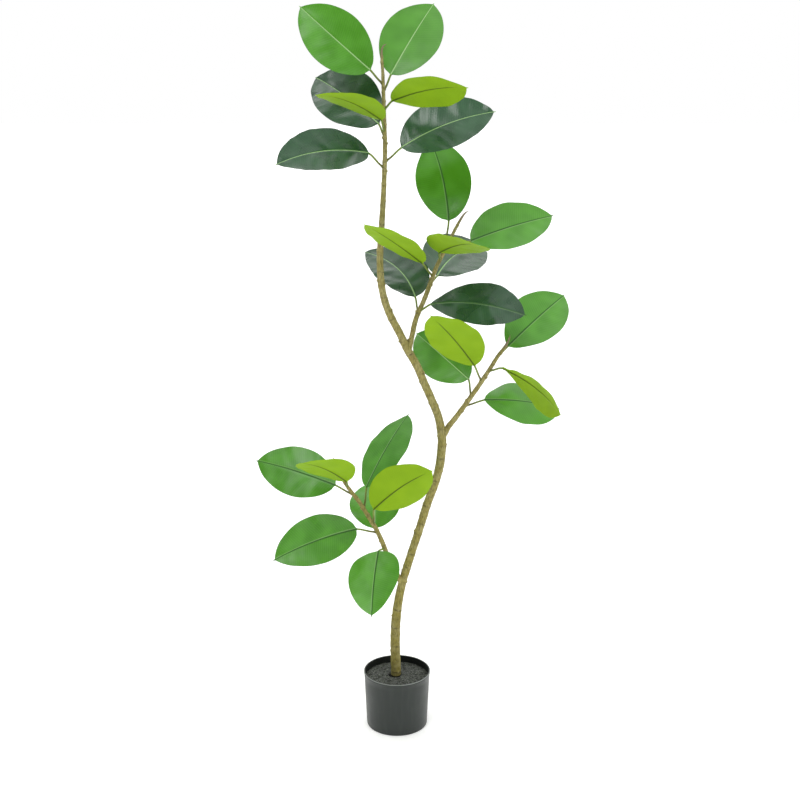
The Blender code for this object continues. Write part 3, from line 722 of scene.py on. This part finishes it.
class RUBBERPLANT_OT_stems(bpy.types.Operator):
    """Make the trunk and the side branches with their bark"""
    bl_idname = "rubberplant.stems"
    bl_label = "Make Stems"

    def execute(self, context):
        material = bark_material()
        trunk = [centre_of(ring) for ring in rings_of("trunk", STEM_SIDES["trunk"])[0]]
        for number, name in enumerate(STEM_SIDES):
            self.make(name, number, trunk, material)
        return {"FINISHED"}

    def make(self, name, number, trunk, material):
        look = settings("stems")
        rings, tip, rest = rings_of(name, STEM_SIDES[name])
        centres = [centre_of(ring) for ring in rings]
        radii = [(ring[0] - centre).length for ring, centre in zip(rings, centres)]
        if name != "trunk":
            # A branch is cut off at the trunk's side, so it is carried on to the trunk's middle.
            low = min(rest, key=lambda point: point.z)
            knots = measured(trunk)
            line = [spline(knots, trunk, knots[-1] * step / 400) for step in range(401)]
            inner = min(line, key=lambda point: (point - low).length)
            centres = [inner, centres[0].lerp(inner, 0.45)] + centres
            radii = [radii[0] * 1.3, radii[0] * 1.12] + radii
        centres.append(tip)
        radii.append(0.0)

        knots = measured(centres)
        total = knots[-1]
        rows = round(total / STEM_ROW)
        columns = TRUNK_COLUMNS if name == "trunk" else BRANCH_COLUMNS
        draw = random.Random(100 + number)
        scars = []
        height, turn = draw.uniform(8, 30) * MM, draw.uniform(0, 2 * pi)
        while height < total - 30 * MM:
            scars.append((height, turn % (2 * pi), draw.uniform(0.35, 1.0)))
            height += look.scar_spacing * draw.uniform(0.5, 1.4)
            turn += radians(137.5) + draw.uniform(-0.4, 0.4)
        across = Vector((0, 1, 0))
        frames = []
        for row in range(rows + 1):
            at = total * row / rows
            ahead = spline(knots, centres, at + MM) - spline(knots, centres, at - MM)
            ahead.normalize()
            across = (across - across.dot(ahead) * ahead).normalized()
            frames.append((at, spline(knots, centres, at), across.copy(), ahead.cross(across),
                           max(spline(knots, radii, at), 0.0)))

        def place(row, column):
            at, here, side, up, radius = frames[row]
            angle = 2 * pi * column / columns
            way = cos(angle) * side + sin(angle) * up
            spot = here + way * radius
            rise, dark, pale = self.scar_relief(at, angle, radius, scars)
            lumps = noise.noise(spot / (7 * MM)) * 0.03 + noise.noise(spot / (20 * MM)) * 0.04
            grown = radius * (1.0 + lumps) + rise * smoothstep(radius, 1.2 * MM, 4.5 * MM)
            bud = smoothstep(at, total - 42 * MM, total - 18 * MM)
            # The marks are the dark scars, the growing tip's sheath and the painted highlight on the
            # nubs.
            return here + way * grown, Vector((dark * (1.0 - bud), bud * 0.85, pale * (1.0 - bud)))

        bm = rolled_skin(rows, columns, place, ["bark_marks_and_nub_highlight"])
        finish_piece("bark_" + name, bm, [material], name)

    def scar_relief(self, at, angle, radius, scars):
        """How far the old leaf scars push the bark out at a place, how dark it is there, and how strong
        the painted highlight is there: each is a thin sunken line that slants round the stem, with a
        nub over its middle that gets the painted highlight."""
        tall = settings("stems").scar_height
        rise, dark, pale = 0.0, 0.0, 0.0
        for height, turn, size in scars:
            aside = (angle - turn + pi) % (2 * pi) - pi
            along = (at - height + SCAR_SLANT * sin(aside)) / SCAR_LENGTH
            if abs(along) > 4.0:
                continue
            nub = exp(-(along - 0.6) ** 2) * exp(-(aside * radius / NUB_WIDTH) ** 2)
            line = exp(-(along * 1.5) ** 2) * (0.15 + 0.85 * exp(-(aside / 1.0) ** 2))
            swelling = exp(-(along / 1.8) ** 2) * 0.2
            rise += size * tall * (nub + swelling - 0.35 * line)
            dark = max(dark, size * 1.4 * line * (1.0 - 0.6 * nub))
            # Painted highlight on the nub's top.
            pale = max(pale, size * 1.6 * nub)
        return rise, min(dark, 1.0), min(pale, 1.0)


# ---- leaves
FOOT_RING = 4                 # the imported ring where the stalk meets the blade
FACE_COLUMNS = 32             # columns across one face of the blade
STALK_ROWS = 14
BLADE_ROWS = 62
BLADE_FULLNESS = 0.62         # below 1 the margins are fuller than a sine curve
DRIP_TIP = 6.0 * MM           # length of the narrow point at the end of the blade
DRIP_WIDTH = 2.4 * MM         # half-width of the point where it leaves the blade
GROOVE_DEPTH = 0.7 * MM       # how far the midrib is sunk in the upper side
RIB_DEPTH = 2.4 * MM          # how far it stands out of the underside at the blade's foot
RIB_WIDTH = 1.7 * MM          # half-width of both
# Leaves whose midrib groove gets strong painted shade and a painted highlight on one side wall.
PAINTED_GROOVE_SHADE_LEAVES = {"leaf_08", "leaf_09", "leaf_14", "leaf_15", "leaf_18", "leaf_20", "leaf_21", "leaf_25",
           "leaf_26"}


def outline(part, belly):
    """Half-width of a blade, as a part of its greatest, at a part of its length."""
    if not 0.0 < part < 1.0:
        return 0.0
    into_tip = max(0.0, (part - 0.86) / 0.14)
    return sin(pi * part ** (log(0.5) / log(belly))) ** BLADE_FULLNESS * (1.0 - 0.2 * into_tip ** 2)


def fitted_outline(parts, halves):
    """The greatest half-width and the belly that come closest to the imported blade's half-widths."""
    best = None
    for step in range(36, 64):
        belly = step / 100
        shape = [outline(part, belly) for part in parts]
        size = sum(a * b for a, b in zip(shape, halves)) / sum(a * a for a in shape)
        error = sum((size * a - b) ** 2 for a, b in zip(shape, halves))
        if best is None or error < best[0]:
            best = error, size, belly
    return best[1:]


class RUBBERPLANT_OT_leaves(bpy.types.Operator):
    """Make the leaves, each with its stalk"""
    bl_idname = "rubberplant.leaves"
    bl_label = "Make Leaves"

    def execute(self, context):
        look = settings("leaves")
        green = upper_leaf_material("waxy_green_leaf", look.green, look.green_deep, 0.33, 0.85, 0.05)
        # The darker copy of the upper side, painted shade, for the leaf_dark leaves.
        dark = upper_leaf_material("waxy_shaded_leaf", look.dark, look.shaded_leaf_deep, 0.27, 0.75, 0.02)
        under, stalk = under_leaf_material(), stalk_material()
        for number, name in enumerate(LEAVES):
            # Leaves in the leaf_dark slot take the darker, painted shade copy.
            old = SLOTS[name] == "leaf_dark"
            self.make(name, number, old, [dark if old else green, under, stalk])
        return {"FINISHED"}

    def make(self, name, number, old, materials):
        look = settings("leaves")
        draw = random.Random(500 + number)
        rings, tip, _ = rings_of(name, LEAF_SIDES)
        if len(rings) != LEAF_RINGS:
            raise RuntimeError(f"{name} has {len(rings)} rings, and {LEAF_RINGS} are needed")
        rings[FOOT_RING] = foot_order(rings[FOOT_RING])
        number_alike(rings, FOOT_RING)

        # the stalk, from 3 mm inside the stem to the foot of the blade
        stalk = [centre_of(ring) for ring in rings[:FOOT_RING]]
        radius = 1.3 * (rings[1][0] - stalk[1]).length
        stalk.append((rings[FOOT_RING][2] + rings[FOOT_RING][6]) / 2)
        stalk.insert(0, stalk[0] + (stalk[0] - stalk[1]).normalized() * 3 * MM)
        stalk = [point.lerp(stalk[0].lerp(stalk[-1], index / (len(stalk) - 1)), 0.6)
                 for index, point in enumerate(stalk)]
        stalk_knots = measured(stalk)
        stalk_length = stalk_knots[-1]
        stalk_sides = [ring[0] - ring[4] for ring in rings[:FOOT_RING + 1]]
        stalk_sides.insert(0, stalk_sides[0])

        # the blade: its midline, the directions across and down, its half-width and its cupping
        blade = rings[FOOT_RING:]
        middles = [ring[2] for ring in blade] + [tip]
        knots = measured(middles)
        reach = knots[-1]
        halves = [(ring[0] - ring[4]).length / 2 for ring in blade]
        widest, belly = fitted_outline([knot / reach for knot in knots[2:8]], halves[2:8])
        sides = [(ring[0] - ring[4]).normalized() for ring in blade]
        downs = [(ring[6] - ring[2]).normalized() for ring in blade]
        lifts = [((ring[0] + ring[4]) / 2 - ring[2]) / half for ring, half in zip(blade, halves)]
        for values in (sides, downs, lifts):
            values.append(values[-1])

        seed = draw.uniform(0, 100)
        tone = draw.uniform(-1.0, 1.0)
        wave = look.wave * draw.uniform(0.5, 1.2)
        wave_length = draw.uniform(45, 75) * MM
        phases = draw.uniform(0, 2 * pi), draw.uniform(0, 2 * pi)
        crease = (2.7 if old else 1.1) * MM
        # The leaf's tone, and how strong the painted shade in its midrib groove is.
        habit = Vector((tone, 1.0 if name in PAINTED_GROOVE_SHADE_LEAVES else 0.0, 0.0))

        def stalk_frame(at):
            ahead = (spline(stalk_knots, stalk, at + 0.5 * MM)
                     - spline(stalk_knots, stalk, at - 0.5 * MM)).normalized()
            side = spline(stalk_knots, stalk_sides, at)
            side = (side - side.dot(ahead) * ahead).normalized()
            up = side.cross(ahead)
            return spline(stalk_knots, stalk, at), side, -up if up.dot(downs[0]) > 0 else up, ahead

        def blade_row(at):
            side = spline(knots, sides, at).normalized()
            down = spline(knots, downs, at)
            down = (down - down.dot(side) * side).normalized()
            body = widest * outline(at / (reach - 0.85 * DRIP_TIP), belly)
            point = DRIP_WIDTH * (1.0 - 0.8 * smoothstep(at, reach - 1.6 * DRIP_TIP, reach) ** 1.4)
            foot = 1.3 * radius * (1.0 - smoothstep(at / reach, 0.0, 0.1))
            half = max(body, foot, point if at > 0.9 * reach else 0.0)
            return at, spline(knots, middles, at), side, down, half, -spline(knots, lifts, at).dot(down)

        def blade_point(row, share, below):
            at, here, side, down, half, lift = row
            part, far, across = at / reach, abs(share), half * share
            full = smoothstep(part, 0.0, 0.12) * (1.0 - 0.5 * smoothstep(part, 0.85, 1.0))
            slant = at - VEIN_SLANT * abs(across)
            level = lift * half * far * far
            level += wave * far ** 2 * full * sin(2 * pi * at / wave_length + phases[share > 0])
            level += crease * full * smoothstep(far, 0.0, 0.35) * noise.noise(
                Vector((slant / (19 * MM), across / (55 * MM) + (9 if share > 0 else 0), seed)))
            level -= GROOVE_DEPTH * exp(-(across / RIB_WIDTH) ** 2) * (1.0 - 0.6 * part) * full
            if below:
                level -= look.thickness * sqrt(max(0.0, 1.0 - far ** 6)) * (1.0 - 0.35 * far)
                rib = RIB_DEPTH * max(0.0, 1.0 - part / 0.88) + 0.3 * MM * (1.0 - part)
                level -= rib * exp(-(across / (RIB_WIDTH - 0.8 * MM * part)) ** 2)
            return here + side * across - down * level, across

        stations = [stalk_length * row / STALK_ROWS for row in range(STALK_ROWS)]
        blade_rows = []
        for row in range(BLADE_ROWS + 1):
            share = row / BLADE_ROWS
            blade_rows.append(blade_row(reach * (0.4 * share + 0.6 * (0.5 - 0.5 * cos(pi * share)))))
        frames = [stalk_frame(at) for at in stations + [stalk_length]]

        def place(row, column):
            below = column > FACE_COLUMNS
            angle = pi * column / FACE_COLUMNS
            turn = 1.0 - 2.0 * (2 * FACE_COLUMNS - column if below else column) / FACE_COLUMNS
            share = (1 if turn > 0 else -1) * smoothstep(abs(turn), 0.0, 1.0) ** 1.15
            if row < STALK_ROWS:
                here, side, up, ahead = frames[row]
                swell = 1.0 + 0.6 * exp(-stations[row] / (3.5 * MM))
                spot = here + radius * swell * (cos(angle) * side + sin(angle) * up)
                return spot, Vector((stations[row] - stalk_length, 0.0, 0.0)), habit
            line = blade_rows[row - STALK_ROWS]
            spot, across = blade_point(line, share, below)
            here, side, up, ahead = frames[-1]
            round_spot = here + ahead * line[0] + radius * (cos(angle) * side + sin(angle) * up)
            spot = round_spot.lerp(spot, smoothstep(line[0] / reach, -0.004, 0.022))
            return spot, Vector((line[0], across, 0.0)), habit

        def tag(row, column):
            if row < STALK_ROWS:
                return 2
            return 0 if column < FACE_COLUMNS else 1

        bm = rolled_skin(STALK_ROWS + BLADE_ROWS, 2 * FACE_COLUMNS, place, ["leaf_place", "leaf_tone_and_groove_shade"],
                         tag)
        finish_piece("rubber_" + name, bm, materials, name)


# ---- stage
# Name, place, spread in degrees, and strength.
LAMPS = (("key_light", (-28, 52), 22, 0.7), ("fill_light", (42, 25), 40, 0.65),
         ("left_light", (-105, 62), 20, 0.35), ("back_light", (172, 56), 26, 0.2))


class RUBBERPLANT_OT_stage(bpy.types.Operator):
    """Make the pale floor, the soft studio light and the camera"""
    bl_idname = "rubberplant.stage"
    bl_label = "Make Stage"

    def execute(self, context):
        look = settings("stage")
        scene = context.scene
        bm = bmesh.new()
        bmesh.ops.create_grid(bm, x_segments=1, y_segments=1, size=40.0)
        ground = add_object("studio_floor", bm)
        material, tree, shader = new_material("matt_white_vinyl", 0.9, 1.4)
        shader.inputs["Base Color"].default_value = (*look.floor, 1.0)
        shader.inputs["Specular IOR Level"].default_value = 0.0
        shader.inputs["Emission Color"].default_value = (1, 1, 1, 1)
        shader.inputs["Emission Strength"].default_value = 0.2
        ground.data.materials.append(material)

        # A white cove behind the plant and a dim room in front of it, so that the leaves that face the
        # front keep their colour, and a bright ceiling that draws their sheen. Seen directly, all of it
        # is white.
        world = bpy.data.worlds.new("white_cove")
        world.use_nodes = True
        tree = world.node_tree
        way = add_node(tree, "SeparateXYZ", {0: add_node(tree, "TexCoord")}).node.outputs
        cove = add_node(tree, "MapRange", {0: way[1], 1: -0.55, 2: 0.25, 3: 0.25, 4: 0.9})
        ceiling = add_node(tree, "MapRange", {0: way[2], 1: 0.6, 2: 0.8, 3: 0.0, 4: 0.6})
        left = add_node(tree, "MapRange", {0: way[0], 1: -0.8, 2: -0.2, 3: 0.45, 4: 1.0})
        cove = add_node(tree, "Math", {0: cove, 1: left}, operation="MULTIPLY")
        lit = add_node(tree, "Math", {0: cove, 1: ceiling}, operation="ADD")
        seen = add_node(tree, "LightPath")
        strength = add_node(tree, "Mix", {0: seen, 2: lit, 3: 1.0})
        background = tree.nodes["Background"]
        background.inputs["Color"].default_value = (1, 1, 1, 1)
        tree.links.new(strength, background.inputs["Strength"])
        scene.world = world

        for lamp in LAMPS:
            self.softbox(*lamp)

        camera = bpy.data.cameras.new("camera")
        camera.lens = look.lens
        camera.sensor_width = 36.0
        eye = add_object("camera", camera)
        eye.location = look.eye
        eye.rotation_euler = (pi / 2 - look.pitch, 0.0, 0.0)
        scene.camera = eye
        scene.view_settings.view_transform = "Standard"
        return {"FINISHED"}

    def softbox(self, name, place, spread, strength):
        """A wide soft lamp far off, at degrees right of the front and above the floor."""
        light = bpy.data.lights.new(name, "SUN")
        light.angle = radians(spread)
        light.energy = strength
        lamp = add_object(name, light)
        turn, lift = radians(place[0]), radians(place[1])
        offset = Vector((sin(turn) * cos(lift), -cos(turn) * cos(lift), sin(lift)))
        lamp.location = offset * 4.0
        lamp.rotation_euler = (-offset).to_track_quat("-Z", "Y").to_euler()


# ---- panel and registration
class RUBBERPLANT_PT_panel(bpy.types.Panel):
    """The plant's pieces and its settings"""
    bl_label = "Rubber Plant"
    bl_idname = "RUBBERPLANT_PT_panel"
    bl_space_type = "VIEW_3D"
    bl_region_type = "UI"
    bl_category = "Rubber Plant"

    def draw(self, context):
        for operator in OPERATORS:
            self.layout.operator(operator.bl_idname)
        for name, group in GROUPS.items():
            box = self.layout.box()
            box.label(text=name.title())
            for key in group.__annotations__:
                box.prop(getattr(context.scene, "rubberplant_" + name), key)


GROUPS = {
    "leaves": RUBBERPLANT_PG_leaves,
    "stems": RUBBERPLANT_PG_stems,
    "pot": RUBBERPLANT_PG_pot,
    "stage": RUBBERPLANT_PG_stage,
}
OPERATORS = (RUBBERPLANT_OT_stage, RUBBERPLANT_OT_pot, RUBBERPLANT_OT_soil, RUBBERPLANT_OT_stems,
             RUBBERPLANT_OT_leaves)
CLASSES = (*GROUPS.values(), *OPERATORS, RUBBERPLANT_PT_panel)


def register():
    for item in CLASSES:
        bpy.utils.register_class(item)
    for name, group in GROUPS.items():
        setattr(bpy.types.Scene, "rubberplant_" + name, bpy.props.PointerProperty(type=group))


def unregister():
    for name in GROUPS:
        delattr(bpy.types.Scene, "rubberplant_" + name)
    for item in reversed(CLASSES):
        bpy.utils.unregister_class(item)


def main():
    register()
    bpy.ops.rubberplant.stage()
    bpy.ops.rubberplant.pot()
    bpy.ops.rubberplant.soil()
    bpy.ops.rubberplant.stems()
    bpy.ops.rubberplant.leaves()


if __name__ == "__main__":
    main()
